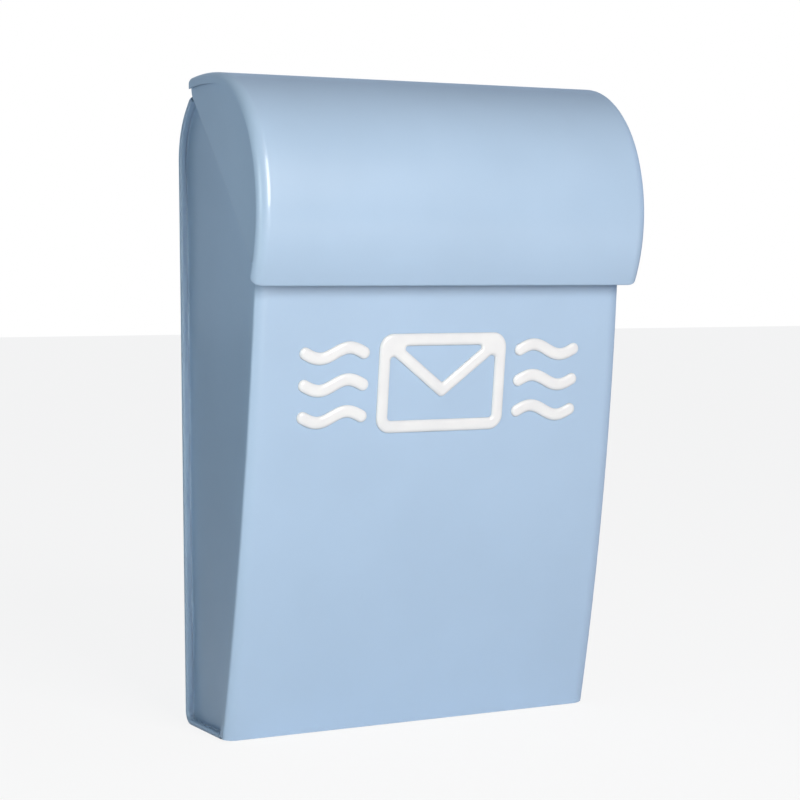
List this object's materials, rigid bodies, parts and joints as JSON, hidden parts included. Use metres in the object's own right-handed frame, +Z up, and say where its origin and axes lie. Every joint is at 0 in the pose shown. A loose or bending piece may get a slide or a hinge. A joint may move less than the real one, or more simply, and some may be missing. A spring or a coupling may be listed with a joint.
{
  "type": "mailbox",
  "caption": "Wall mailbox in painted sheet steel: slim box with a bowed, sloping front and a barrel-shaped lid hinged along the back, with a raised envelope emblem.",
  "frame": {"origin": "centre of the flat back face, where the mailbox meets the wall", "axes": "+X to the right of someone who faces the front, +Y into the wall, +Z up"},
  "size_m": [0.26, 0.1412, 0.3997],
  "materials": {
    "body_paint": "pale blue semi-gloss powder coat",
    "lid_paint": "pale blue semi-gloss powder coat",
    "bare_steel": "zinc-plated, satin",
    "white_enamel": "white gloss enamel, raised"
  },
  "bodies": {
    "body": {"front_panel": "body_paint", "side_panel_left": "body_paint", "side_panel_right": "body_paint", "back_bottom_panel": "body_paint", "hinge_leaf_body": "body_paint", "hinge_pin": "bare_steel", "hinge_rivet_1": "bare_steel", "hinge_rivet_2": "bare_steel", "hinge_rivet_3": "bare_steel", "hinge_rivet_4": "bare_steel", "hinge_rivet_5": "bare_steel", "emblem_envelope": "white_enamel", "emblem_wave_left_1": "white_enamel", "emblem_wave_left_2": "white_enamel", "emblem_wave_left_3": "white_enamel", "emblem_wave_right_1": "white_enamel", "emblem_wave_right_2": "white_enamel", "emblem_wave_right_3": "white_enamel"},
    "lid": {"lid_shell": "lid_paint", "lid_cheek_left": "lid_paint", "lid_cheek_right": "lid_paint", "hinge_leaf_lid": "lid_paint"}
  },
  "joints": [
    {"name": "lid_hinge", "type": "hinge", "parent": "body", "child": "lid", "pos_m": [0, -0.031, 0.2098], "axis": [-1, 0, 0], "range_deg": [0, 110]}
  ]
}
